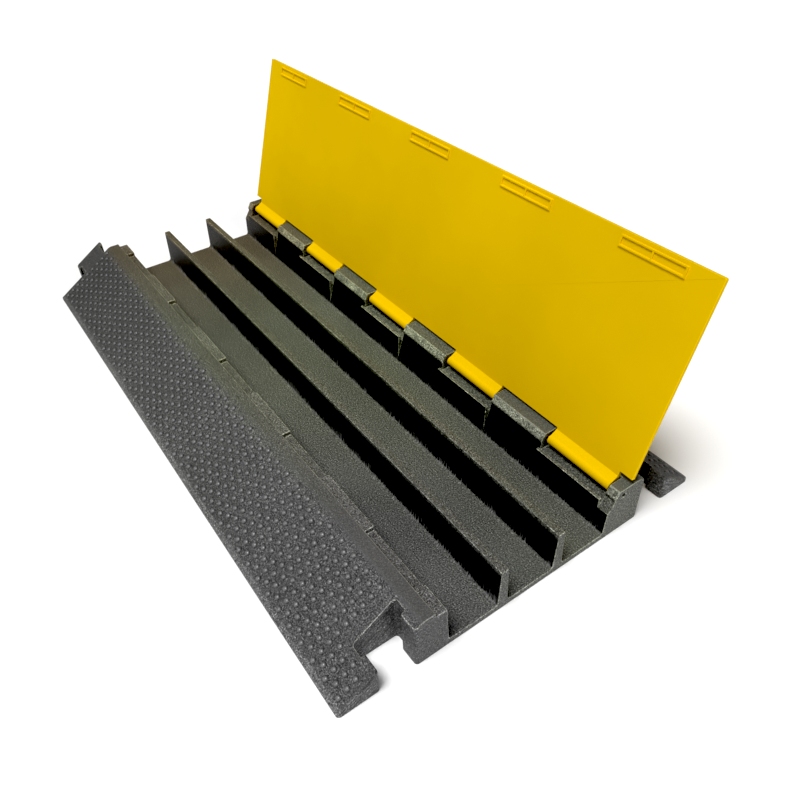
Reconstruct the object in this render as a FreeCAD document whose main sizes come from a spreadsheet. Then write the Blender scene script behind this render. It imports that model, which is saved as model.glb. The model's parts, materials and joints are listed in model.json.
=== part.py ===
import FreeCAD, Part
import Sketcher
import os
import re

# Cable protector ramp: a rubber base with three cable channels, a plastic lid and a steel hinge rod.
# X runs along the channels, Y across them (front toe at -Y, hinge at +Y) and Z up from the ground.
# The origin is on the ground, in the middle of the base. Every size is in millimetres.
# The lid stands open, leaned back past upright on the edge of the hinge bays.

doc = FreeCAD.newDocument("CableRamp")
sheet = doc.addObject("Spreadsheet::Sheet", "Dims")

SIZES = [
    # the base seen from its end
    ("length", 900, "length of the base along the channels"),
    ("width", 500, "width over both ramps at the ground"),
    ("height", 68, "height of the flat tops"),
    ("toe_height", 6, "upright edge at the foot of each ramp"),
    ("toe_round", 2.5, "rounding along the toe"),
    ("ramp_run", 100, "how far each ramp runs before it is level"),
    ("crest_round", 12, "rounding where a ramp meets the flat top"),
    ("top_strip", 16, "flat strip in front of the lid"),
    ("ledge_width", 15, "ledge that carries the free edge of the lid"),
    ("floor_thickness", 8, "floor of the channels"),
    ("front_channel", 67.5, "front channel, measured between wall tops"),
    ("middle_channel", 69, "middle channel, measured between wall tops"),
    ("rib_top", 9, "thickness of a divider at its top"),
    ("rib_foot", 14, "thickness of a divider at the floor"),
    ("wall_draft", 2.5, "how far each block wall leans back"),
    ("foot_round", 5, "rounding where walls meet the floor"),
    ("rib_round", 1.5, "rounding of the top edges of the dividers"),
    ("joined", 1, "how far an added shape runs into its neighbour, so that the two join"),
    # hinge
    ("hinge_inset", 26, "hinge axis in front of the top of the back ramp"),
    ("hinge_drop", 9, "hinge axis below the flat tops"),
    ("hinge_reach", 23, "hinge axis behind the back channel wall"),
    ("rod_radius", 3, "hinge rod"),
    ("rod_recess", 4, "how deep the rod ends sit in the base"),
    ("rod_grip", 0.03, "gap around the rod in the base"),
    ("rod_play", 0.08, "gap around the rod in the lid"),
    ("lip_radius", 4.5, "round lip at the front of a base knuckle"),
    ("lip_reach", 8, "middle of the round lip in front of the hinge axis"),
    ("lip_step", 6, "top of the lip below the flat top"),
    ("lip_start", 30, "degrees above level at which the round lip begins"),
    ("lip_end", 40, "degrees below level at which the round lip ends"),
    ("knuckle_face", 7, "front edge of a knuckle's flat top, in front of the hinge axis"),
    ("ear_length", 15, "end knuckle"),
    ("ear_lean", 38, "height above which the wall leans back below an end knuckle"),
    ("end_play", 2.75, "gap between a lid barrel and a base knuckle"),
    ("bay_below", 13, "bottom of a hinge bay below the hinge axis"),
    ("shelf_below", 6.5, "shelf in front of a hinge bay below the hinge axis"),
    ("shelf_width", 6.5, "shelf in front of a hinge bay"),
    # lid
    ("lid_thickness", 5, "lid plate"),
    ("lid_gap", 1, "gap at the free edge of the closed lid"),
    ("seat_gap", 0.4, "gap below the closed lid"),
    ("lid_side_gap", 0.5, "lid ends inside the base ends"),
    ("lid_corner", 2, "rounding of the lid corners"),
    ("barrel_radius", 6.5, "lid barrel"),
    ("barrel_length", 95, "lid barrel"),
    ("web_reach", 13, "where the web of a barrel leaves the plate, ahead of the hinge axis"),
    ("web_end", 20, "degrees below the hinge axis at which the web meets the barrel"),
    ("heel_height", 3.9, "upright heel behind a barrel, above the hinge axis"),
    ("heel_reach", 2.7, "where the outer face ends, behind the hinge axis"),
    ("knuckle_cut", 15.5, "lid edge ahead of the hinge axis at a knuckle"),
    ("ear_cut", 19.5, "lid edge ahead of the hinge axis at an ear"),
    ("open_angle", 107, "how far the lid opens from closed"),
    ("stop_margin", 1, "angle past open_angle at which the lid would meet its stop"),
    # locating pads under the lid and their pockets in the ledge
    ("pad_inset", 81, "middle of the end pads from the ends of the base"),
    ("pad_length", 84, "pad"),
    ("pad_width", 13, "pad"),
    ("pad_edge", 4.5, "pad behind the free edge of the lid"),
    ("pad_height", 2, "pad rim"),
    ("pad_rim", 2.4, "thickness of the pad rim"),
    ("pocket_length", 91, "pocket in the ledge"),
    ("pocket_depth", 6.5, "pocket in the ledge"),
    # end connectors
    ("joint_inset", 70, "middle of each connector from the toe"),
    ("neck_width", 42, "mouth of the socket"),
    ("head_width", 52, "inside of the socket"),
    ("socket_depth", 39, "socket"),
    ("head_depth", 16, "inside of the socket"),
    ("joint_gap", 1.5, "gap all round a tongue in its socket"),
    ("corner_round", 4, "rounding of the upright corners"),
]
for row, (alias, value, note) in enumerate(SIZES, start=1):
    sheet.set(f"A{row}", str(value))
    sheet.setAlias(f"A{row}", alias)
    sheet.set(f"B{row}", note)
doc.recompute()

# Derived places, each written once as an expression on the sheet.
NAMES = [alias for alias, value, note in SIZES]


def ex(text):
    """Return an expression in which every sheet name is written with the name of its sheet."""
    return re.sub("[a-z_]+", lambda word: "Dims." + word[0] if word[0] in NAMES else word[0], text)


TOP_Y = "(width / 2 - ramp_run)"
STEP_Y = f"({TOP_Y} - top_strip)"
FRONT_WALL = f"({STEP_Y} - ledge_width)"
LEDGE_Z = "(height - lid_thickness - seat_gap)"
RIB_HALF_TOP = "(rib_top / 2)"
RIB_HALF_FOOT = "(rib_foot / 2)"
RIB_1 = f"(front_channel + rib_top / 2 - {FRONT_WALL})"
RIB_2 = f"({RIB_1} + rib_top + middle_channel)"
HINGE_Y = f"({TOP_Y} - hinge_inset)"
HINGE_Z = "(height - hinge_drop)"
BACK_WALL = f"({HINGE_Y} - hinge_reach)"
SHELF_Z = f"({HINGE_Z} - shelf_below)"
BAY_Z = f"({HINGE_Z} - bay_below)"
BAY_FRONT = f"({BACK_WALL} + shelf_width)"
BAY_BACK = f"({HINGE_Y} + hinge_drop * tan((open_angle + stop_margin) / 2 * 1 deg))"
PITCH = "((length - 2 * ear_length - 2 * end_play - barrel_length) / 4)"
KNUCKLE_LENGTH = f"({PITCH} - barrel_length - 2 * end_play)"
PAD_PITCH = "((length / 2 - pad_inset) / 2)"
LID_REACH = f"({HINGE_Y} + {STEP_Y} - lid_gap)"
LID_UNDER = "(hinge_drop - lid_thickness)"
LIP_TOP_Y = f"({HINGE_Y} - lip_reach - lip_radius * cos(lip_start * 1 deg))"
LIP_TOP_Z = "(height - lip_step - lip_radius + lip_radius * sin(lip_start * 1 deg))"
LIP_FOOT_Y = f"({HINGE_Y} - lip_reach - lip_radius * cos(lip_end * 1 deg))"
LIP_FOOT_Z = "(height - lip_step - lip_radius - lip_radius * sin(lip_end * 1 deg))"
JOINT_Y = "(width / 2 - joint_inset)"
ABOVE = "(height + lid_thickness)"
OUTSIDE = "(0.6 * width)"
WHOLE = "(length + 4 * socket_depth)"


def number(text):
    """Return the value that an expression has now."""
    value = sheet.evalExpression(ex(text))
    return float(getattr(value, "Value", value))


def plane(body, role):
    """Return one of the body's own origin planes."""
    return next(item for item in body.Origin.OriginFeatures if item.Role == role)


def outline(body, name, role, points, offset=None):
    """Draw a closed outline. A point is (x, y), or (x, y, radius, side) where an arc starts.

    side is 1 when the arc bulges to the right of the way from this point to the next, else -1.
    """
    sketch = body.newObject("Sketcher::SketchObject", name)
    sketch.AttachmentSupport = (plane(body, role), [""])
    sketch.MapMode = "FlatFace"
    if offset:
        sketch.setExpression(".AttachmentOffset.Base.z", ex(offset))
    places = [FreeCAD.Vector(number(p[0]), number(p[1]), 0) for p in points]
    for index, point in enumerate(points):
        start = places[index]
        end = places[(index + 1) % len(points)]
        if len(point) == 2:
            sketch.addGeometry(Part.LineSegment(start, end), False)
            continue
        chord = end - start
        middle = (start + end) * 0.5
        right = FreeCAD.Vector(chord.y, -chord.x, 0).normalize() * point[3]
        radius = number(point[2])
        rise = (radius ** 2 - (chord.Length / 2) ** 2) ** 0.5
        top = middle + right * (radius - rise)
        sketch.addGeometry(Part.Arc(start, top, end), False)
    for index, point in enumerate(points):
        first, last = ends_of(sketch, index, places[index])
        following = (index + 1) % len(points)
        next_first, next_last = ends_of(sketch, following, places[following])
        sketch.addConstraint(Sketcher.Constraint("Coincident", index, last, following, next_first))
        bound = [("DistanceX", point[0], places[index].x), ("DistanceY", point[1], places[index].y)]
        for kind, text, value in bound:
            number_of = sketch.addConstraint(Sketcher.Constraint(kind, index, first, value))
            sketch.setExpression(f"Constraints[{number_of}]", ex(text))
        if len(point) == 4:
            number_of = sketch.addConstraint(Sketcher.Constraint("Radius", index, number(point[2])))
            sketch.setExpression(f"Constraints[{number_of}]", ex(point[2]))
    return sketch


def ends_of(sketch, index, start):
    """Return which end of a run is its start point and which is its end point."""
    if (sketch.getPoint(index, 1) - start).Length < (sketch.getPoint(index, 2) - start).Length:
        return 1, 2
    return 2, 1


def circle(body, name, role, x, y, radius):
    """Draw one circle."""
    sketch = body.newObject("Sketcher::SketchObject", name)
    sketch.AttachmentSupport = (plane(body, role), [""])
    sketch.MapMode = "FlatFace"
    centre = FreeCAD.Vector(number(x), number(y), 0)
    sketch.addGeometry(Part.Circle(centre, FreeCAD.Vector(0, 0, 1), number(radius)), False)
    bound = [("DistanceX", (0, 3), x), ("DistanceY", (0, 3), y), ("Radius", (0,), radius)]
    for kind, where, text in bound:
        number_of = sketch.addConstraint(Sketcher.Constraint(kind, *where, number(text)))
        sketch.setExpression(f"Constraints[{number_of}]", ex(text))
    return sketch


def extrude(body, kind, name, sketch, length, symmetric=True, reverse=False):
    """Pad or pocket a sketch by a length."""
    before = body.Shape.Volume if body.Tip else 0
    feature = body.newObject("PartDesign::" + kind, name)
    feature.Profile = sketch
    feature.SideType = "Symmetric" if symmetric else "One side"
    feature.Reversed = reverse
    feature.setExpression("Length", ex(length))
    doc.recompute()
    change = body.Shape.Volume - before
    if change * (1 if kind == "Pad" else -1) <= 0:
        raise RuntimeError(f"{name} changes nothing")
    return feature


def row_along_x(body, name, originals, pitch, count):
    """Repeat features along X, at one pitch."""
    before = body.Shape.Volume
    pattern = body.newObject("PartDesign::LinearPattern", name)
    pattern.Originals = originals
    pattern.Direction = (plane(body, "X_Axis"), [""])
    pattern.Mode = "Spacing"
    pattern.setExpression("Offset", ex(pitch))
    pattern.Occurrences = count
    body.Tip = pattern
    doc.recompute()
    if abs(body.Shape.Volume - before) < 1:
        raise RuntimeError(f"{name} changes nothing")
    return pattern


def round_edges(body, name, radius, wanted):
    """Fillet the edges of the body for which wanted(edge) is true."""
    tip = body.Tip
    faces = len(tip.Shape.Faces)
    edges = [f"Edge{index}" for index, edge in enumerate(tip.Shape.Edges, start=1) if wanted(edge)]
    if not edges:
        raise RuntimeError(f"{name} finds no edges")
    feature = body.newObject("PartDesign::Fillet", name)
    feature.Base = (tip, edges)
    feature.setExpression("Radius", ex(radius))
    doc.recompute()
    if len(body.Shape.Faces) == faces:
        raise RuntimeError(f"{name} changes nothing")
    return feature


def runs_along_x(edge):
    """Tell whether an edge is straight and parallel to the channels."""
    ends = [vertex.Point for vertex in edge.Vertexes]
    return len(ends) == 2 and abs(ends[0].y - ends[1].y) + abs(ends[0].z - ends[1].z) < 1e-4


def stands_up(edge):
    """Tell whether an edge is straight and upright."""
    ends = [vertex.Point for vertex in edge.Vertexes]
    return len(ends) == 2 and abs(ends[0].x - ends[1].x) + abs(ends[0].y - ends[1].y) < 1e-4


def near(value, target):
    """Tell whether a measured place is the wanted one."""
    return abs(value - target) < 0.05


def base_plan():
    """Return the plan of the base: a rectangle with two tongues at -X and two sockets at +X."""
    end = "length / 2"
    far = "- length / 2"
    tongue_neck = "(neck_width / 2 - joint_gap)"
    tongue_head = "(head_width / 2 - joint_gap)"
    tongue_tip = "(- length / 2 - socket_depth + joint_gap)"
    tongue_back = "(- length / 2 - socket_depth + head_depth - joint_gap)"
    points = [(far, "- width / 2"), (end, "- width / 2")]
    for side in ("-", ""):
        middle = f"{side} {JOINT_Y}"
        points += [
            (end, f"{middle} - neck_width / 2"),
            (f"{end} - socket_depth + head_depth", f"{middle} - neck_width / 2"),
            (f"{end} - socket_depth + head_depth", f"{middle} - head_width / 2"),
            (f"{end} - socket_depth", f"{middle} - head_width / 2"),
            (f"{end} - socket_depth", f"{middle} + head_width / 2"),
            (f"{end} - socket_depth + head_depth", f"{middle} + head_width / 2"),
            (f"{end} - socket_depth + head_depth", f"{middle} + neck_width / 2"),
            (end, f"{middle} + neck_width / 2"),
        ]
    points += [(end, "width / 2"), (far, "width / 2")]
    for side in ("", "-"):
        middle = f"{side} {JOINT_Y}"
        points += [
            (far, f"{middle} + {tongue_neck}"),
            (tongue_back, f"{middle} + {tongue_neck}"),
            (tongue_back, f"{middle} + {tongue_head}"),
            (tongue_tip, f"{middle} + {tongue_head}"),
            (tongue_tip, f"{middle} - {tongue_head}"),
            (tongue_back, f"{middle} - {tongue_head}"),
            (tongue_back, f"{middle} - {tongue_neck}"),
            (far, f"{middle} - {tongue_neck}"),
        ]
    return points


def channel_profile():
    """Return the outline of everything that is open above the floor, seen from the end."""
    points = [
        (f"- {STEP_Y}", ABOVE),
        (f"- {STEP_Y}", LEDGE_Z),
        (f"- {FRONT_WALL} - wall_draft / 2", LEDGE_Z),
        (f"- {FRONT_WALL} + wall_draft / 2", "floor_thickness"),
    ]
    for rib in (RIB_1, RIB_2):
        points += [
            (f"{rib} - {RIB_HALF_FOOT}", "floor_thickness"),
            (f"{rib} - {RIB_HALF_TOP}", LEDGE_Z),
            (f"{rib} + {RIB_HALF_TOP}", LEDGE_Z),
            (f"{rib} + {RIB_HALF_FOOT}", "floor_thickness"),
        ]
    points += [
        (BACK_WALL, "floor_thickness"),
        (f"{BACK_WALL} + wall_draft", SHELF_Z),
        (BAY_FRONT, SHELF_Z),
        (BAY_FRONT, BAY_Z),
        (BAY_BACK, BAY_Z),
        (BAY_BACK, ABOVE),
    ]
    return points


def lip_points(foot_y, foot_z):
    """Return a knuckle outline: back, flat top, sloped face and round lip, from one foot up and over."""
    return [
        (foot_y, foot_z),
        (BAY_BACK, foot_z),
        (BAY_BACK, "height"),
        (f"{HINGE_Y} - knuckle_face", "height"),
        (LIP_TOP_Y, LIP_TOP_Z, "lip_radius", 1),
        (LIP_FOOT_Y, LIP_FOOT_Z),
    ]


def lean_points(low):
    """Return the outline of what is open in front of the wall that leans back to a lip."""
    return [
        (f"{BACK_WALL} - joined", low),
        (BACK_WALL, low),
        (LIP_FOOT_Y, LIP_FOOT_Z),
        (f"{BACK_WALL} - joined", f"{LIP_FOOT_Z} + joined"),
    ]


def make_base():
    """Build the one-piece rubber base."""
    body = doc.addObject("PartDesign::Body", "ramp_base")
    body.Label = "ramp_base"
    plan = outline(body, "Plan", "XY_Plane", base_plan())
    extrude(body, "Pad", "Block", plan, "height", symmetric=False)
    socket_x = number("length / 2 - socket_depth")
    tongue_x = number("- length / 2 - socket_depth + joint_gap")
    end_x = number("length / 2")
    round_edges(body, "Corners", "corner_round", lambda edge: stands_up(edge)
                and any(near(edge.Vertexes[0].X, x) for x in (socket_x, tongue_x, end_x)))

    for side, name in (("-", "FrontSlope"), ("", "BackSlope")):
        edge = f"{side} width / 2"
        crest = f"{side} {TOP_Y}"
        slope = [
            (edge, "toe_height"),
            (crest, "height"),
            (crest, ABOVE),
            (f"{side} {OUTSIDE}", ABOVE),
            (f"{side} {OUTSIDE}", "toe_height"),
        ]
        if not side:
            slope.reverse()
        extrude(body, "Pocket", name, outline(body, name + "Shape", "YZ_Plane", slope), WHOLE)
    crest_y = number(TOP_Y)
    top_z = number("height")
    round_edges(body, "Crests", "crest_round", lambda edge: runs_along_x(edge)
                and near(abs(edge.Vertexes[0].Y), crest_y) and near(edge.Vertexes[0].Z, top_z))

    channels = outline(body, "ChannelShape", "YZ_Plane", channel_profile())
    extrude(body, "Pocket", "Channels", channels, WHOLE)

    floor_z = number("floor_thickness")
    round_edges(body, "WallFeet", "foot_round", lambda edge: runs_along_x(edge)
                and near(edge.Vertexes[0].Z, floor_z))
    rib_z = number(LEDGE_Z)
    ribs = [number(rib) for rib in (RIB_1, RIB_2)]
    half = number(RIB_HALF_TOP)
    round_edges(body, "RibTops", "rib_round", lambda edge: runs_along_x(edge)
                and near(edge.Vertexes[0].Z, rib_z)
                and any(near(abs(edge.Vertexes[0].Y - rib), half) for rib in ribs))

    first = f"(- 1.5 * {PITCH})"
    shape = outline(body, "KnuckleShape", "YZ_Plane", lip_points(f"{BAY_FRONT} - joined", BAY_Z), first)
    knuckle = extrude(body, "Pad", "Knuckle", shape, KNUCKLE_LENGTH)
    row_along_x(body, "Knuckles", [knuckle], PITCH, 4)
    # below a knuckle the wall leans back to its lip instead of ending in a shelf
    lean = lean_points("floor_thickness + foot_round")
    shape = outline(body, "LeanShape", "YZ_Plane", lean, first)
    leaned = extrude(body, "Pocket", "KnuckleLean", shape, KNUCKLE_LENGTH)
    row_along_x(body, "KnuckleLeans", [leaned], PITCH, 4)

    middle = "(length / 2 - ear_length / 2)"
    ear_front = f"({BACK_WALL} + wall_draft)"
    for side, name in (("-", "FarEar"), ("", "NearEar")):
        ear = lip_points(f"{BAY_FRONT} - joined", BAY_Z) + [
            (ear_front, LIP_FOOT_Z),
            (ear_front, f"{SHELF_Z} - joined"),
            (f"{BAY_FRONT} - joined", f"{SHELF_Z} - joined"),
        ]
        shape = outline(body, name + "Shape", "YZ_Plane", ear, f"{side} {middle}")
        extrude(body, "Pad", name, shape, "ear_length")
        shape = outline(body, name + "LeanShape", "YZ_Plane", lean_points("ear_lean"), f"{side} {middle}")
        extrude(body, "Pocket", name + "Lean", shape, "ear_length")

    bore = circle(body, "RodHoleShape", "YZ_Plane", HINGE_Y, HINGE_Z, "rod_radius + rod_grip")
    extrude(body, "Pocket", "RodHole", bore, WHOLE)

    pocket = [
        (f"- {STEP_Y}", f"{LEDGE_Z} + seat_gap"),
        (f"- {STEP_Y}", f"{LEDGE_Z} - pocket_depth"),
        (f"- {FRONT_WALL} + wall_draft", f"{LEDGE_Z} - pocket_depth"),
        (f"- {FRONT_WALL} + wall_draft", f"{LEDGE_Z} + seat_gap"),
    ]
    shape = outline(body, "LedgePocketShape", "YZ_Plane", pocket, f"- 2 * {PAD_PITCH}")
    first_pocket = extrude(body, "Pocket", "LedgePocket", shape, "pocket_length")
    row_along_x(body, "LedgePockets", [first_pocket], PAD_PITCH, 5)

    half_width = number("width") / 2
    toe_z = number("toe_height")
    round_edges(body, "Toes", "toe_round", lambda edge: runs_along_x(edge)
                and near(abs(edge.Vertexes[0].Y), half_width) and near(edge.Vertexes[0].Z, toe_z))
    return body


def make_lid():
    """Build the lid closed around the hinge axis, then lean it open."""
    body = doc.addObject("PartDesign::Body", "channel_lid")
    body.Label = "channel_lid"
    end = "(length / 2 - lid_side_gap)"
    plate = [
        (f"- {end}", f"- {LID_REACH}"),
        (end, f"- {LID_REACH}"),
        (end, "- ear_cut"),
        (f"- {end}", "- ear_cut"),
    ]
    sketch = outline(body, "PlateShape", "XY_Plane", plate, LID_UNDER)
    extrude(body, "Pad", "Plate", sketch, "lid_thickness", symmetric=False)

    # between the ears the plate runs on to the knuckle line
    inner = f"(2 * {PITCH} + barrel_length / 2)"
    strip = [
        (f"- {inner}", "- ear_cut - joined"),
        (inner, "- ear_cut - joined"),
        (inner, "- knuckle_cut"),
        (f"- {inner}", "- knuckle_cut"),
    ]
    sketch = outline(body, "StripShape", "XY_Plane", strip, LID_UNDER)
    extrude(body, "Pad", "Strip", sketch, "lid_thickness", symmetric=False)

    barrel = [
        ("- knuckle_cut - joined", "hinge_drop"),
        ("- knuckle_cut - joined", LID_UNDER),
        ("- web_reach", LID_UNDER),
        ("- barrel_radius * cos(web_end * 1 deg)", "- barrel_radius * sin(web_end * 1 deg)",
         "barrel_radius", 1),
        ("barrel_radius", "0"),
        ("barrel_radius", "heel_height"),
        ("heel_reach", "hinge_drop"),
    ]
    sketch = outline(body, "BarrelShape", "YZ_Plane", barrel, f"- 2 * {PITCH}")
    first = extrude(body, "Pad", "Barrel", sketch, "barrel_length")
    row_along_x(body, "Barrels", [first], PITCH, 5)
    bore = circle(body, "BoreShape", "YZ_Plane", "0", "0", "rod_radius + rod_play")
    extrude(body, "Pocket", "Bore", bore, WHOLE)

    outer = f"({LID_REACH} - pad_edge)"
    inner = f"({LID_REACH} - pad_edge - pad_width)"
    half = "(pad_length / 2)"
    shift = f"- 2 * {PAD_PITCH}"
    rim = [
        (f"{shift} - {half}", f"- {outer}"),
        (f"{shift} + {half}", f"- {outer}"),
        (f"{shift} + {half}", f"- {inner}"),
        (f"{shift} - {half}", f"- {inner}"),
    ]
    sketch = outline(body, "PadShape", "XY_Plane", rim, f"{LID_UNDER} - pad_height")
    pad = extrude(body, "Pad", "LocatingPad", sketch, "pad_height", symmetric=False)
    repeated = [pad]
    # two hollows, one on each side of the divider in the middle of the pad
    for name, low, high in (
        ("PadHollowFar", f"{shift} - {half} + pad_rim", f"{shift} - pad_rim / 2"),
        ("PadHollowNear", f"{shift} + pad_rim / 2", f"{shift} + {half} - pad_rim"),
    ):
        hollow = [
            (low, f"- {outer} + pad_rim"),
            (high, f"- {outer} + pad_rim"),
            (high, f"- {inner} - pad_rim"),
            (low, f"- {inner} - pad_rim"),
        ]
        sketch = outline(body, name + "Shape", "XY_Plane", hollow, f"{LID_UNDER} - pad_height")
        repeated.append(extrude(body, "Pocket", name, sketch, "pad_height", symmetric=False, reverse=True))
    row_along_x(body, "LocatingPads", repeated, PAD_PITCH, 5)

    reach = number(LID_REACH)
    plate_edge = number("lid_thickness")
    round_edges(body, "LidCorners", "lid_corner", lambda edge: stands_up(edge)
                and near(edge.Vertexes[0].Y, -reach) and near(edge.Length, plate_edge))

    body.setExpression(".Placement.Base.y", ex(HINGE_Y))
    body.setExpression(".Placement.Base.z", ex(HINGE_Z))
    body.Placement = FreeCAD.Placement(body.Placement.Base, FreeCAD.Rotation(FreeCAD.Vector(1, 0, 0), -1))
    body.setExpression(".Placement.Rotation.Angle", ex("- open_angle * 1 deg"))
    return body


def make_rod():
    """Build the steel rod that runs through every knuckle and barrel."""
    rod = doc.addObject("Part::Cylinder", "hinge_rod")
    rod.Label = "hinge_rod"
    rod.setExpression("Radius", ex("rod_radius"))
    rod.setExpression("Height", ex("length - 2 * rod_recess"))
    rod.Placement = FreeCAD.Placement(FreeCAD.Vector(0, 0, 0), FreeCAD.Rotation(FreeCAD.Vector(0, 1, 0), 90))
    rod.setExpression(".Placement.Base.x", ex("- length / 2 + rod_recess"))
    rod.setExpression(".Placement.Base.y", ex(HINGE_Y))
    rod.setExpression(".Placement.Base.z", ex(HINGE_Z))
    return rod


def write_parts(parts):
    """Check every object, then write one STEP file for each part."""
    doc.recompute()
    for item in doc.Objects:
        if "Invalid" in item.State or "Error" in item.State:
            raise RuntimeError(f"{item.Name} failed: {item.State}")
    for part in parts:
        if part.Shape.isNull() or not part.Shape.isValid():
            raise RuntimeError(f"{part.Label} has no valid shape")
    os.makedirs("parts", exist_ok=True)
    for part in parts:
        part.Shape.exportStep(f"parts/{part.Label}.step")
        box = part.Shape.BoundBox
        limits = (box.XMin, box.YMin, box.ZMin, box.XMax, box.YMax, box.ZMax)
        print(part.Label, len(part.Shape.Solids), round(part.Shape.Volume), [round(v, 2) for v in limits])


write_parts([make_base(), make_lid(), make_rod()])
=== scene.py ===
"""Cable protector ramp: rubber base with studded ramps, open channels, a hinged plastic lid and its rod.

The frame gives the solids. This file rounds their edges, adds the studs and the grip pattern, gives
every piece its material, and sets up the floor, the lights and the camera. Lengths are in metres.
"""

import json
import math

import bmesh
import bpy
import numpy as np
from bpy.props import FloatProperty, FloatVectorProperty, IntProperty, PointerProperty
from mathutils import Matrix, Vector


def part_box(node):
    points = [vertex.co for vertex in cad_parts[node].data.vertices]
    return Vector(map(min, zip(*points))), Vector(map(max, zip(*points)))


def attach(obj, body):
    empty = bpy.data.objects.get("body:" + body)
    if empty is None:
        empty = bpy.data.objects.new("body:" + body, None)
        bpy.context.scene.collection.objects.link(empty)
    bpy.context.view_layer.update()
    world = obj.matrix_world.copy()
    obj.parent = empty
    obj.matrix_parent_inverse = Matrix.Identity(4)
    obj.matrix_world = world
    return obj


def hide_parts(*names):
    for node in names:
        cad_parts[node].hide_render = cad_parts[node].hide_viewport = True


bl_info = {
    "name": "Cable protector ramp",
    "version": (1, 0, 0),
    "blender": (4, 5, 0),
    "location": "View3D > Sidebar > Cable ramp",
    "description": "Builds the visible pieces of a cable protector ramp around its frame",
    "category": "Object",
}

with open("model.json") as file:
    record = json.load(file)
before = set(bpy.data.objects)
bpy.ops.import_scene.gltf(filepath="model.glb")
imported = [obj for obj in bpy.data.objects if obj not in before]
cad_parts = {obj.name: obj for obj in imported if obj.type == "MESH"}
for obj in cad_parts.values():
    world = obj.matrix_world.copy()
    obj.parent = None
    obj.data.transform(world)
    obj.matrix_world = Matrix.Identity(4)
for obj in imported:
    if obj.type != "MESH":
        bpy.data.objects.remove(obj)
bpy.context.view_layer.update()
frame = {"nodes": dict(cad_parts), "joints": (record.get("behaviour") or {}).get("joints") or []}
BASE_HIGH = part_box("ramp_base")[1]
HINGE = Vector(next(joint["pos_m"] for joint in frame["joints"] if joint["name"] == "lid_hinge"))

# the base: its flat end, its flat tops, the slope from toe to crest, a socket and the channels
END_X = BASE_HIGH.x
TOP_Z = BASE_HIGH.z
TOE_Y = BASE_HIGH.y
TOE_Z = 0.006
CREST_Y = 0.150
RAMP_RUN = TOE_Y - CREST_Y
RAMP_RISE = TOP_Z - TOE_Z
RAMP_LENGTH = math.hypot(RAMP_RUN, RAMP_RISE)
SOCKET_X = 0.411
SOCKET_OUTER_Y = 0.206
FLOOR_Z = 0.008
CHANNELS_Y = -0.009

# the lid, measured from the hinge axis when it lies closed
OPEN_ANGLE = math.radians(107)
LID_TOP = 0.009
LID_REACH = 0.257
LID_HALF = 0.4495

# studs and grip: rings and sides of one dome, and how far its foot is sunk
DOME_RINGS = 3
DOME_SIDES = 12
DOME_SUNK = 0.0006
# slope left bare at the ends and round a socket
BARE_END = 0.008
BARE_SOCKET_X = 0.014
BARE_SOCKET_Y = 0.0045

# copies of the solids: points merged, nearly flat edges dissolved, sharp edges rounded
MERGE_DISTANCE = 2e-6
FLAT_ANGLE = math.radians(0.4)
SHARP_ANGLE = math.radians(28)
EDGE_SEGMENTS = 3


# ---------------------------------------------------------------- sizes and colours a user would change

class StudSettings(bpy.types.PropertyGroup):
    column_pitch: FloatProperty(name="Column pitch", description="Step from one column of studs to the next",
                                default=0.011842, unit="LENGTH")
    row_pitch: FloatProperty(name="Row pitch", description="Step between rows, measured level",
                             default=0.0103, unit="LENGTH")
    lowest_row: FloatProperty(name="Lowest row", description="Lowest row, inside the toe",
                              default=0.0095, unit="LENGTH")
    radius: FloatProperty(name="Stud radius", description="Radius of a stud at its foot",
                          default=0.0036, unit="LENGTH")
    height: FloatProperty(name="Stud height", description="Height of a stud above the ramp",
                          default=0.0024, unit="LENGTH")
    rows: IntProperty(name="Rows", description="Rows in the fuller columns", default=9)


class GripSettings(bpy.types.PropertyGroup):
    pitch: FloatProperty(name="Grip pitch", description="Step from one grip stud to the next",
                         default=0.0172, unit="LENGTH")
    radius: FloatProperty(name="Grip radius", description="Radius of a grip stud",
                          default=0.004, unit="LENGTH")
    height: FloatProperty(name="Grip height", description="Height of a grip stud above the lid",
                          default=0.0012, unit="LENGTH")
    margin: FloatProperty(name="Grip margin", description="Lid left bare inside its edges",
                          default=0.014, unit="LENGTH")
    hinge_margin: FloatProperty(name="Hinge margin", description="Lid left bare ahead of the hinge axis",
                                default=0.034, unit="LENGTH")


class FinishSettings(bpy.types.PropertyGroup):
    rubber: FloatVectorProperty(name="Rubber", description="Colour of the rubber base", subtype="COLOR",
                                size=3, default=(0.077, 0.0772, 0.077))
    lid: FloatVectorProperty(name="Lid", description="Colour of the plastic lid", subtype="COLOR",
                             size=3, default=(0.76, 0.485, 0.001))
    steel: FloatVectorProperty(name="Rod", description="Colour of the plated rod", subtype="COLOR",
                               size=3, default=(0.56, 0.36, 0.24))
    rubber_edge: FloatProperty(name="Rubber edge", description="Rounding of the base's edges",
                               default=0.0009, unit="LENGTH")
    lid_edge: FloatProperty(name="Lid edge", description="Rounding of the lid's edges",
                            default=0.0006, unit="LENGTH")


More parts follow.
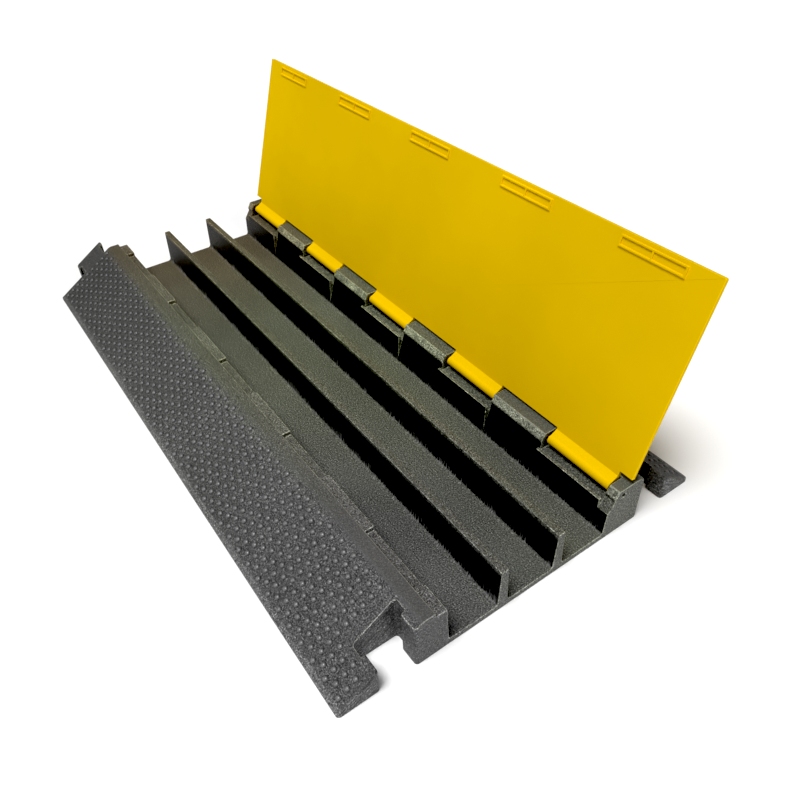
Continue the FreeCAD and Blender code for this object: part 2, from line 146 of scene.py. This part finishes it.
class StageSettings(bpy.types.PropertyGroup):
    azimuth: FloatProperty(name="Azimuth", description="Turn of the camera about the object, in degrees",
                           default=56.48)
    elevation: FloatProperty(name="Elevation", description="Height of the camera, in degrees", default=41.07)
    roll: FloatProperty(name="Roll", description="Roll of the camera, in degrees", default=-2.61)
    lens: FloatProperty(name="Lens", description="Focal length on a 36 mm sensor", default=32.575)
    fill: FloatProperty(name="Fill light", description="Strength of the even light from all round",
                        default=0.10)
    black: FloatProperty(name="Black level", description="Light that still prints as black", default=0.025)
    place: FloatVectorProperty(name="Camera place", description="Where the camera stands", size=3,
                               default=(0.75257, -0.36422, 0.66741), subtype="TRANSLATION")


# ---------------------------------------------------------------- meshes

def closed_grid_faces(rows, columns):
    """Quads of a grid of points stored row by row, whose last column joins its first."""
    row, column = np.meshgrid(np.arange(rows - 1), np.arange(columns), indexing="ij")
    after = (column + 1) % columns
    corners = (row * columns + column, row * columns + after, (row + 1) * columns + after,
               (row + 1) * columns + column)
    return np.stack(corners, axis=-1).reshape(-1, 4)


def add_piece(name, points, faces, body, material):
    """Make a smooth mesh of points and faces, and let it ride on a body."""
    mesh = bpy.data.meshes.new(name)
    mesh.from_pydata(points.reshape(-1, 3).tolist(), [], faces)
    mesh.update()
    mesh.polygons.foreach_set("use_smooth", np.ones(len(mesh.polygons), dtype=bool))
    mesh.materials.append(material)
    piece = bpy.data.objects.new(name, mesh)
    bpy.context.scene.collection.objects.link(piece)
    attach(piece, body)
    return piece


def dome_points(radius, height):
    """Rings of one dome, at angles a from 0 to 72 degrees.

    Each ring lies out = radius * cos(a) ** 0.8 and up = height * sin(a) ** 1.1.
    """
    angle = np.linspace(0, 0.8, DOME_RINGS)[:, None] * math.pi / 2
    turn = np.arange(DOME_SIDES)[None, :] * 2 * math.pi / DOME_SIDES
    out = radius * np.cos(angle) ** 0.8
    up = height * np.sin(angle) ** 1.1
    sides = np.stack(np.broadcast_arrays(out * np.cos(turn), out * np.sin(turn), up), axis=-1)
    return sides.reshape(-1, 3)


def scatter_domes(places, along, across, normal, radius, height):
    """Put one dome at every place: point = place + u * along + v * across + w * normal, in whole arrays.

    The foot ring is sunk below the surface, and a fan of triangles closes the crown.
    """
    dome = dome_points(radius, height)
    dome[:DOME_SIDES, 2] -= DOME_SUNK
    crown = np.array([[0, 0, height]])
    dome = np.concatenate([dome, crown])
    points = places[:, None, :] + (dome @ np.array([along, across, normal]))[None, :, :]
    quads = closed_grid_faces(DOME_RINGS, DOME_SIDES)
    ring = np.arange(DOME_SIDES)
    last = (DOME_RINGS - 1) * DOME_SIDES
    tip = np.full(DOME_SIDES, DOME_RINGS * DOME_SIDES)
    cap = np.stack([last + ring, last + (ring + 1) % DOME_SIDES, tip], axis=-1)
    step = np.arange(len(places))[:, None, None] * len(dome)
    faces = (quads[None] + step).reshape(-1, 4).tolist() + (cap[None] + step).reshape(-1, 3).tolist()
    return points, faces


def moulded_copy(node, name, body, material, edge_highlight_material, edge):
    """Copy a CAD node, merge its loose triangles into flat faces and round its sharp edges.

    The rounded edges take a material of their own, which carries a painted highlight, and flat faces keep
    their own normals.
    """
    mesh = frame["nodes"][node].data.copy()
    mesh.name = name
    work = bmesh.new()
    work.from_mesh(mesh)
    bmesh.ops.remove_doubles(work, verts=work.verts, dist=MERGE_DISTANCE)
    bmesh.ops.dissolve_limit(work, angle_limit=FLAT_ANGLE, verts=work.verts, edges=work.edges)
    for face in work.faces:
        face.smooth = True
    work.to_mesh(mesh)
    work.free()
    mesh.materials.clear()
    mesh.materials.append(material)
    mesh.materials.append(edge_highlight_material)
    piece = bpy.data.objects.new(name, mesh)
    bpy.context.scene.collection.objects.link(piece)
    bevel = piece.modifiers.new("Edges", "BEVEL")
    bevel.width = edge
    bevel.segments = EDGE_SEGMENTS
    bevel.limit_method = "ANGLE"
    bevel.angle_limit = SHARP_ANGLE
    bevel.use_clamp_overlap = False
    bevel.material = 1
    bevel.face_strength_mode = "FSTR_ALL"
    shading = piece.modifiers.new("Flat faces", "WEIGHTED_NORMAL")
    shading.mode = "FACE_AREA"
    shading.weight = 100
    shading.use_face_influence = True
    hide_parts(node)
    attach(piece, body)
    return piece


# ---------------------------------------------------------------- materials

# Zones of the rubber: each pair is where a zone starts and where it is full.
RUBBED_TOP_Z = (0.0664, 0.0672)
RUBBED_TOP_X = (0.15, 0.35)
OUTSIDE_Y = (CREST_Y, CREST_Y + 0.015)
DUSTY_X = (0.30, -0.05)
DUSTY_Y = (-0.12, 0.06)
BROWN_X = (-0.15, -0.42)
DARK_SLOPE_X = (-0.05, -0.42)
TOE_EDGE_Y = (0.2435, 0.2455)
SCUFF_Z = (FLOOR_Z + 0.0003, FLOOR_Z + 0.0020)
PAST_SCUFFS_Y = (0.109, 0.114)
PAST_WALLS_Y = (0.124, 0.126)
WALL_TOP_Z = (0.055, 0.060)
RAMP_END_Y = (CREST_Y, CREST_Y + 0.004)
LEDGE_Z = (0.0600, 0.0615)
PAST_LEDGE_Z = (0.0635, 0.0645)
LEDGE_Y = (-0.10, -0.115)
# height above which rounded upper edges take a painted highlight
HIGHLIGHT_EDGE_Z = (0.058, 0.060)

# Tints that a tone is multiplied by.
OLIVE_DUST = (1.36, 1.45, 1.00)
BROWN_DUST = (1.22, 1.02, 0.62)
TOE_TINT = (2.0, 2.0, 2.0)
# painted shade: the darkening of the upright walls inside the channels
WALL_PAINTED_SHADE = (0.13, 0.13, 0.13)
LEDGE_TINT = (1.2, 1.2, 1.2)
# the edge tint is a painted highlight on rounded upper edges
EDGE_HIGHLIGHT_TINT = (3.0, 3.0, 2.8)

# Shades of a piece's own colour.
DARK_CRUMB = 0.22
MAIN_CRUMB = 1.55
LIGHT_CRUMB = 4.2
DARK_SLOPE = 0.35
SCUFF = 2.6
# a stud's foot shade is painted shade and its top shade a painted highlight
STUD_FOOT_SHADE = 0.22
STUD_SIDE = 1.25
STUD_TOP_HIGHLIGHT = 2.5
STUD_CRUMB = 0.7
# painted highlight: the lid's rounded edges are made lighter than its faces
LID_EDGE_HIGHLIGHT = 1.12


class Nodes:
    """Short calls for building a material's nodes; a value is a number, a colour or a node's socket."""

    def __init__(self, name):
        self.material = bpy.data.materials.new(name)
        self.material.use_nodes = True
        self.tree = self.material.node_tree
        self.shader = self.tree.nodes["Principled BSDF"]
        self.place = self.add("ShaderNodeTexCoord").outputs["Object"]

    def put(self, socket, value):
        """Link a value to a socket, or set it there; a colour is three numbers."""
        if isinstance(value, bpy.types.NodeSocket):
            self.tree.links.new(value, socket)
        elif socket.type == "RGBA":
            socket.default_value = (*value, 1.0)
        else:
            socket.default_value = value

    def add(self, kind, inputs=None, **settings):
        """Add a node with its settings and inputs."""
        node = self.tree.nodes.new(kind)
        for key, value in settings.items():
            setattr(node, key, value)
        for key, value in (inputs or {}).items():
            self.put(node.inputs[key], value)
        return node

    def noise(self, scale, detail=3.0, roughness=0.5, vector=None):
        """Cloudy noise about 0.5."""
        inputs = {"Vector": vector or self.place, "Scale": scale, "Detail": detail, "Roughness": roughness}
        return self.add("ShaderNodeTexNoise", inputs).outputs["Fac"]

    def stretched(self, scale):
        """Places on the piece, stretched along the three axes."""
        return self.add("ShaderNodeMapping", {"Vector": self.place, "Scale": scale}).outputs[0]

    def ramp(self, value, low, high, low_value=0.0, high_value=1.0):
        """Carry a value from low and high to low_value and high_value, and hold it there beyond them."""
        inputs = {"Value": value, "From Min": low, "From Max": high,
                  "To Min": low_value, "To Max": high_value}
        return self.add("ShaderNodeMapRange", inputs).outputs["Result"]

    def fall(self, value, low, high):
        """Fall from 1 at low to 0 at high."""
        return self.ramp(value, low, high, 1.0, 0.0)

    def split(self, vector):
        """The three parts of a vector."""
        return tuple(self.add("ShaderNodeSeparateXYZ", {"Vector": vector}).outputs)

    def grey(self, value):
        """A grey of a brightness."""
        return self.add("ShaderNodeCombineColor", {"Red": value, "Green": value, "Blue": value}).outputs[0]

    def mix(self, factor, first, second, blend="MIX"):
        """Mix two colours."""
        inputs = {0: factor, 6: first, 7: second}
        return self.add("ShaderNodeMix", inputs, data_type="RGBA", blend_type=blend).outputs[2]

    def tint(self, factor, tone, by):
        """Multiply a colour by another, as far as factor says."""
        return self.mix(factor, tone, self.mix(1.0, tone, by, "MULTIPLY"))

    def math(self, operation, first, second=0.5):
        """One sum of one or two numbers."""
        return self.add("ShaderNodeMath", {0: first, 1: second}, operation=operation).outputs[0]

    def times(self, first, *others):
        """Multiply numbers."""
        for other in others:
            first = self.math("MULTIPLY", first, other)
        return first

    def magnitude(self, value):
        """A number without its sign."""
        return self.math("ABSOLUTE", value)

    def bump(self, height, strength, distance):
        """Normals of a height that stands up to distance proud."""
        inputs = {"Height": height, "Strength": strength, "Distance": distance}
        return self.add("ShaderNodeBump", inputs).outputs["Normal"]

    def finish(self, **sockets):
        """Fill the shader's sockets and give back the material."""
        for key, value in sockets.items():
            self.put(self.shader.inputs[key.replace("_", " ").title().replace("Ior", "IOR")], value)
        return self.material


def scaled(colour, factor):
    """A lighter or darker shade of a colour."""
    return tuple(channel * factor for channel in colour)


def crumb_tone(n, colour, crumb, fine, strength):
    """Dark, main and light crumbs as far as strength says, under soft clouds and a fine grain."""
    tone = n.mix(n.ramp(crumb, 0.36, 0.60), scaled(colour, DARK_CRUMB), scaled(colour, MAIN_CRUMB))
    tone = n.mix(n.ramp(crumb, 0.60, 0.72), tone, scaled(colour, LIGHT_CRUMB))
    tone = n.mix(strength, colour, tone)
    cloud = n.noise(7.0, 4.0)
    shade = n.times(n.ramp(cloud, 0.35, 0.65, 0.88, 1.10), n.ramp(fine, 0.35, 0.65, 0.80, 1.20))
    return n.mix(1.0, tone, n.grey(shade), "MULTIPLY")


def dusty_tone(n, tone, colour, x, y, from_middle):
    """Olive dust on the inner surfaces, browner towards the tongue end; darker far slopes and pale toes."""
    outside = n.ramp(from_middle, *OUTSIDE_Y)
    dust = n.math("ADD", n.ramp(x, *DUSTY_X, 0.0, 0.75), n.ramp(y, *DUSTY_Y, 0.0, 0.45))
    dust = n.times(n.math("MINIMUM", dust, 1.0), n.ramp(outside, 0.0, 1.0, 1.0, 0.15))
    tone = n.tint(dust, tone, n.mix(n.ramp(x, *BROWN_X), OLIVE_DUST, BROWN_DUST))
    far_slope = n.times(n.ramp(x, *DARK_SLOPE_X, 0.0, 0.42), outside)
    tone = n.mix(far_slope, tone, scaled(colour, DARK_SLOPE))
    return n.tint(n.ramp(from_middle, *TOE_EDGE_Y, 0.0, 0.6), tone, TOE_TINT)


def wall_shade_and_specks(n, tone, z, from_channels, facing):
    """Painted shade darkening the upright walls inside the channels, and coarse specks on every upright
    face.
    """
    upright = n.fall(n.magnitude(facing[2]), 0.35, 0.55)
    not_an_end = n.fall(n.magnitude(facing[0]), 0.4, 0.6)
    shaded_wall = n.times(n.fall(z, *WALL_TOP_Z), n.fall(from_channels, *PAST_WALLS_Y))
    # painted shade on the upright channel walls below their tops, leaving the end faces alone
    tone = n.tint(n.times(upright, not_an_end, shaded_wall), tone, WALL_PAINTED_SHADE)
    speck = n.grey(n.ramp(n.noise(360.0, 3.0, 0.75), 0.38, 0.62, 0.35, 1.75))
    return n.tint(n.times(upright, 0.9), tone, speck)


def ramp_end_tone(n, tone, y, z, from_middle, facing):
    """Streaks that run along the slope on the upright ends of the ramps."""
    below = n.math("ADD", z, n.times(from_middle, RAMP_RISE / RAMP_RUN))
    along = n.add("ShaderNodeCombineXYZ", {"X": n.times(below, 520.0), "Y": n.times(y, 45.0)}).outputs[0]
    streak = n.grey(n.ramp(n.noise(1.0, 3.0, 0.7, along), 0.40, 0.62, 0.25, 2.1))
    ramp_end = n.times(n.ramp(n.magnitude(facing[0]), 0.6, 0.8), n.ramp(from_middle, *RAMP_END_Y))
    return n.tint(n.times(ramp_end, 0.85), tone, streak)


def wall_foot_scuffs(n, z, from_channels):
    """How scuffed a place is: upright marks of uneven height, just above the feet of the walls."""
    marks = n.ramp(n.noise(1.0, 2.0, 0.7, n.stretched((620.0, 30.0, 55.0))), 0.50, 0.64)
    uneven = n.math("SUBTRACT", z, n.times(n.noise(45.0, 3.0), 0.030))
    reach = n.times(n.ramp(z, *SCUFF_Z), n.fall(uneven, -0.004, 0.004))
    return n.times(marks, reach, n.fall(from_channels, *PAST_SCUFFS_Y))


def edge_highlight(n, z, facing, highlight):
    """How much painted highlight a place takes: patches on the rounded, upward-tilted edges high on the
    base, and no less than the given floor.
    """
    tilted = n.times(n.ramp(facing[2], 0.25, 0.45), n.fall(facing[2], 0.78, 0.83))
    patches = n.ramp(n.noise(60.0, 3.0), 0.35, 0.6, 0.3, 1.0)
    return n.math("MAXIMUM", n.times(tilted, n.ramp(z, *HIGHLIGHT_EDGE_Z), patches), highlight)


def rubber_material(name, colour, highlight=0.0):
    """Moulded crumb rubber: smoother flat tops, dust, painted shade on the channel walls, streaked ends,
    scuffs and a painted highlight on the rounded upper edges.

    The last argument sets a painted highlight, from 0 for the body of the base to 1 for a rounded edge that
    takes it in full.
    """
    n = Nodes(name)
    x, y, z = n.split(n.place)
    facing = n.split(n.add("ShaderNodeNewGeometry").outputs["Normal"])
    from_middle = n.magnitude(y)
    from_channels = n.magnitude(n.math("SUBTRACT", y, CHANNELS_Y))
    crumb = n.noise(620.0, 2.0, 0.65)
    fine = n.noise(1300.0, 2.0, 0.6)
    rubbed = n.times(n.ramp(z, *RUBBED_TOP_Z), n.ramp(x, *RUBBED_TOP_X, 0.1, 0.7))
    strength = n.times(n.ramp(n.noise(16.0, 2.0), 0.40, 0.60, 0.8, 1.0), n.fall(rubbed, 0.0, 1.0))

    tone = crumb_tone(n, colour, crumb, fine, strength)
    tone = dusty_tone(n, tone, colour, x, y, from_middle)
    tone = wall_shade_and_specks(n, tone, z, from_channels, facing)
    tone = ramp_end_tone(n, tone, y, z, from_middle, facing)
    ledge = n.times(n.ramp(z, *LEDGE_Z), n.fall(z, *PAST_LEDGE_Z), n.ramp(y, *LEDGE_Y))
    tone = n.tint(ledge, tone, LEDGE_TINT)
    tone = n.mix(wall_foot_scuffs(n, z, from_channels), tone, scaled(colour, SCUFF))
    # painted highlight on the rounded upper edges
    tone = n.tint(edge_highlight(n, z, facing, highlight), tone, EDGE_HIGHLIGHT_TINT)

    height = n.math("ADD", n.times(crumb, 1.3), n.times(fine, 0.5))
    normal = n.bump(n.times(height, strength), 0.8, 0.0011)
    return n.finish(base_color=tone, roughness=n.ramp(crumb, 0.3, 0.7, 0.46, 0.66), normal=normal,
                    specular_ior_level=0.35)


def stud_material(name, colour):
    """Studs: the same rubber but smoother, with painted shade round the foot and a painted highlight on top.
    """
    n = Nodes(name)
    x, y, z = n.split(n.place)
    inward = n.math("SUBTRACT", TOE_Y, n.magnitude(y))
    above = n.math("SUBTRACT", n.math("SUBTRACT", z, TOE_Z), n.times(inward, RAMP_RISE / RAMP_RUN))
    above = n.times(above, RAMP_RUN / RAMP_LENGTH)
    crumb = n.noise(600.0, 2.0, 0.6)
    # painted shade round each stud's foot, then a painted highlight on its top
    tone = n.mix(n.ramp(above, 0.0004, 0.0015), scaled(colour, STUD_FOOT_SHADE), scaled(colour, STUD_SIDE))
    tone = n.mix(n.ramp(above, 0.0014, 0.0022), tone, scaled(colour, STUD_TOP_HIGHLIGHT))
    tone = n.mix(n.ramp(x, *DARK_SLOPE_X, 0.0, 0.42), tone, scaled(colour, DARK_SLOPE))
    tone = n.mix(n.ramp(crumb, 0.40, 0.60, 0.0, 0.5), tone, scaled(colour, STUD_CRUMB))
    return n.finish(base_color=tone, roughness=n.ramp(crumb, 0.3, 0.7, 0.32, 0.44),
                    normal=n.bump(crumb, 0.3, 0.0004), specular_ior_level=0.6)


def plastic_material(name, colour):
    """Moulded plastic: an even colour with faint clouds, a fine grain and a dull gloss."""
    n = Nodes(name)
    cloud = n.noise(6.0, 3.0)
    grain = n.noise(700.0, 2.0, 0.6)
    tone = n.mix(n.ramp(cloud, 0.35, 0.65), scaled(colour, 0.96), scaled(colour, 1.04))
    normal = n.bump(n.math("ADD", grain, n.times(n.noise(60.0, 2.0), 0.6)), 0.12, 0.0005)
    return n.finish(base_color=tone, roughness=n.ramp(cloud, 0.3, 0.7, 0.46, 0.54), normal=normal,
                    specular_ior_level=0.06)


def steel_material(name, colour):
    """Plated rod: fine, slightly duller lines round the rod."""
    n = Nodes(name)
    lines = n.noise(1.0, 2.0, 0.6, n.stretched((4000.0, 300.0, 300.0)))
    tone = n.mix(n.ramp(lines, 0.3, 0.7), scaled(colour, 0.8), scaled(colour, 1.15))
    return n.finish(base_color=tone, metallic=1.0, roughness=n.ramp(lines, 0.3, 0.7, 0.25, 0.42),
                    normal=n.bump(lines, 0.15, 0.0002))


# ---------------------------------------------------------------- stage

FLOOR_HALF = 40.0
BACKDROP = 1.2
# each light's name, the direction it shines from, its width in degrees and its strength
LIGHTS = (
    ("top_light", (0.05, -0.35, 1.0), 24.0, 3.3),
    ("end_light", (1.0, 0.15, 0.42), 24.0, 1.0),
)


def add_floor(scene, half):
    """Lay a plain pale floor that reaches half its width each way."""
    n = Nodes("floor_paper")
    tone = n.mix(n.ramp(n.noise(3.0), 0.3, 0.7), (0.90, 0.90, 0.90), (0.92, 0.92, 0.92))
    n.finish(base_color=tone, roughness=0.8, specular_ior_level=0.1)
    corners = np.array([[-1, -1, 0], [1, -1, 0], [1, 1, 0], [-1, 1, 0]]) * half
    mesh = bpy.data.meshes.new("floor")
    mesh.from_pydata(corners.tolist(), [], [[0, 1, 2, 3]])
    mesh.materials.append(n.material)
    floor = bpy.data.objects.new("floor", mesh)
    scene.collection.objects.link(floor)


def set_world(scene, fill, backdrop):
    """Light everything evenly from all round, and show the eye a plain white backdrop."""
    world = bpy.data.worlds.new("studio")
    world.use_nodes = True
    tree = world.node_tree
    seen = tree.nodes["Background"]
    seen.inputs["Color"].default_value = (1.0, 1.0, 1.0, 1.0)
    path = tree.nodes.new("ShaderNodeLightPath")
    power = tree.nodes.new("ShaderNodeMapRange")
    power.inputs["To Min"].default_value = fill
    power.inputs["To Max"].default_value = backdrop
    tree.links.new(path.outputs["Is Camera Ray"], power.inputs["Value"])
    tree.links.new(power.outputs["Result"], seen.inputs["Strength"])
    scene.world = world


def set_view(scene, black):
    """Show plain colours, with everything darker than black shown as black."""
    view = scene.view_settings
    view.view_transform = "Standard"
    view.use_curve_mapping = True
    view.curve_mapping.black_level = (black, black, black)
    view.curve_mapping.update()


def add_light(scene, name, source, spread, strength):
    """Add a soft distant light that shines from a direction, as wide as spread in degrees."""
    light = bpy.data.lights.new(name, "SUN")
    light.angle = math.radians(spread)
    light.energy = strength
    lamp = bpy.data.objects.new(name, light)
    lamp.location = source
    lamp.rotation_euler = Vector(source).to_track_quat("Z", "Y").to_euler()
    scene.collection.objects.link(lamp)


def add_camera(scene, stage):
    """Stand the camera at its place, facing along its azimuth and elevation and then rolled."""
    azimuth, elevation, roll = (math.radians(v) for v in (stage.azimuth, stage.elevation, stage.roll))
    back = Vector((math.sin(azimuth) * math.cos(elevation), -math.cos(azimuth) * math.cos(elevation),
                   math.sin(elevation)))
    right = Vector((0, 0, 1)).cross(back).normalized()
    up = back.cross(right)
    turned_right = math.cos(roll) * right + math.sin(roll) * up
    turned_up = -math.sin(roll) * right + math.cos(roll) * up
    camera = bpy.data.objects.new("camera", bpy.data.cameras.new("camera"))
    camera.data.sensor_width = 36.0
    camera.data.lens = stage.lens
    camera.data.clip_start = 0.01
    turn = Matrix((turned_right, turned_up, back)).transposed().to_4x4()
    camera.matrix_world = Matrix.Translation(Vector(stage.place)) @ turn
    scene.collection.objects.link(camera)
    scene.camera = camera


# ---------------------------------------------------------------- one operator for each piece

class CABLERAMP_OT_base(bpy.types.Operator):
    """Round the edges of the rubber base and give it its grained finish"""
    bl_idname = "cable_ramp.base"
    bl_label = "Rubber base"

    def execute(self, context):
        finish = context.scene.cable_ramp_finish
        material = rubber_material("ramp_rubber", tuple(finish.rubber))
        # the rubber's rounded edges carry a painted highlight
        edge = rubber_material("highlit_edge_rubber", tuple(finish.rubber), 0.75)
        moulded_copy("ramp_base", "rubber_base", "base", material, edge, finish.rubber_edge)
        return {"FINISHED"}


class CABLERAMP_OT_studs(bpy.types.Operator):
    """Scatter the round studs over both ramps"""
    bl_idname = "cable_ramp.studs"
    bl_label = "Ramp studs"

    def execute(self, context):
        studs = context.scene.cable_ramp_studs
        material = stud_material("stud_rubber", tuple(context.scene.cable_ramp_finish.rubber))
        across = np.array([0.0, RAMP_RUN, RAMP_RISE]) / RAMP_LENGTH
        normal = np.array([0.0, -RAMP_RISE, RAMP_RUN]) / RAMP_LENGTH
        half_columns = int((END_X - BARE_END) / studs.column_pitch)
        columns = np.arange(-half_columns, half_columns + 1)
        column, row = np.meshgrid(columns, np.arange(studs.rows), indexing="ij")
        even = column % 2 == 0
        x = column * studs.column_pitch
        inward = studs.lowest_row + (row + 0.5 * even) * studs.row_pitch
        y = inward - TOE_Y
        z = TOE_Z + inward * RAMP_RISE / RAMP_RUN
        by_socket = (x > SOCKET_X - BARE_SOCKET_X) & (-y < SOCKET_OUTER_Y + BARE_SOCKET_Y)
        shown = ~by_socket & ~(even & (row == studs.rows - 1))
        front = np.stack([x, y, z], axis=-1)[shown]
        for side, name in ((1, "front_ramp_studs"), (-1, "back_ramp_studs")):
            mirror = np.array([1, side, 1])
            points, faces = scatter_domes(front * mirror, np.array([side, 0.0, 0.0]), across * mirror,
                                          normal * mirror, studs.radius, studs.height)
            add_piece(name, points, faces, "base", material)
        return {"FINISHED"}


class CABLERAMP_OT_lid(bpy.types.Operator):
    """Round the edges of the lid and give it its plastic finish"""
    bl_idname = "cable_ramp.lid"
    bl_label = "Channel lid"

    def execute(self, context):
        finish = context.scene.cable_ramp_finish
        material = plastic_material("lid_plastic", tuple(finish.lid))
        # the lid's rounded edges carry a painted highlight
        edge = plastic_material("lid_plastic_highlight", scaled(finish.lid, LID_EDGE_HIGHLIGHT))
        moulded_copy("channel_lid", "hinged_lid", "lid", material, edge, finish.lid_edge)
        return {"FINISHED"}


class CABLERAMP_OT_grip(bpy.types.Operator):
    """Scatter low round grip studs over the outer face of the lid"""
    bl_idname = "cable_ramp.grip"
    bl_label = "Lid grip"

    def execute(self, context):
        grip = context.scene.cable_ramp_grip
        row_pitch = grip.pitch * math.sqrt(3) / 2
        half_columns = int((LID_HALF - grip.margin) / grip.pitch)
        rows = int((LID_REACH - grip.margin - grip.hinge_margin) / row_pitch) + 1
        columns = np.arange(-half_columns, half_columns + 1)
        column, row = np.meshgrid(columns, np.arange(rows), indexing="ij")
        odd = row % 2 == 1
        shown = ~(odd & (column == half_columns))
        x = (column + 0.5 * odd) * grip.pitch
        reach = grip.margin - LID_REACH + row * row_pitch
        turn = np.array([[1.0, 0.0, 0.0],
                         [0.0, math.cos(OPEN_ANGLE), -math.sin(OPEN_ANGLE)],
                         [0.0, math.sin(OPEN_ANGLE), math.cos(OPEN_ANGLE)]])
        flat = np.stack([x, reach, np.full(x.shape, LID_TOP)], axis=-1)[shown]
        places = flat @ turn + np.array(HINGE)
        points, faces = scatter_domes(places, *turn, grip.radius, grip.height)
        add_piece("lid_grip", points, faces, "lid", bpy.data.materials["lid_plastic"])
        return {"FINISHED"}


class CABLERAMP_OT_rod(bpy.types.Operator):
    """Give the hinge rod its plated finish"""
    bl_idname = "cable_ramp.rod"
    bl_label = "Hinge rod"

    def execute(self, context):
        rod = frame["nodes"]["hinge_rod"]
        rod.data.materials.clear()
        rod.data.materials.append(steel_material("rod_steel", tuple(context.scene.cable_ramp_finish.steel)))
        return {"FINISHED"}


class CABLERAMP_OT_stage(bpy.types.Operator):
    """Set up the floor, the lights and the camera"""
    bl_idname = "cable_ramp.stage"
    bl_label = "Stage"

    def execute(self, context):
        scene = context.scene
        stage = scene.cable_ramp_stage
        add_floor(scene, FLOOR_HALF)
        set_world(scene, stage.fill, BACKDROP)
        set_view(scene, stage.black)
        for light in LIGHTS:
            add_light(scene, *light)
        add_camera(scene, stage)
        return {"FINISHED"}


class CABLERAMP_PT_pieces(bpy.types.Panel):
    """The pieces of the cable ramp, and the settings they use"""
    bl_label = "Cable ramp"
    bl_idname = "CABLERAMP_PT_pieces"
    bl_space_type = "VIEW_3D"
    bl_region_type = "UI"
    bl_category = "Cable ramp"

    def draw(self, context):
        for group in (getattr(context.scene, name) for name in SETTINGS):
            box = self.layout.box()
            for name in group.__annotations__:
                box.prop(group, name)
        for operator in OPERATORS:
            self.layout.operator(operator.bl_idname)


SETTINGS = {
    "cable_ramp_studs": StudSettings,
    "cable_ramp_grip": GripSettings,
    "cable_ramp_finish": FinishSettings,
    "cable_ramp_stage": StageSettings,
}
OPERATORS = (CABLERAMP_OT_base, CABLERAMP_OT_studs, CABLERAMP_OT_lid, CABLERAMP_OT_grip, CABLERAMP_OT_rod,
             CABLERAMP_OT_stage)
CLASSES = (*SETTINGS.values(), *OPERATORS, CABLERAMP_PT_pieces)


def register():
    for item in CLASSES:
        bpy.utils.register_class(item)
    for name, group in SETTINGS.items():
        setattr(bpy.types.Scene, name, PointerProperty(type=group))


def unregister():
    for name in SETTINGS:
        delattr(bpy.types.Scene, name)
    for item in reversed(CLASSES):
        bpy.utils.unregister_class(item)


def main():
    """Build every piece in order."""
    register()
    for operator in OPERATORS:
        group, name = operator.bl_idname.split(".")
        getattr(getattr(bpy.ops, group), name)()


if __name__ == "__main__":
    main()
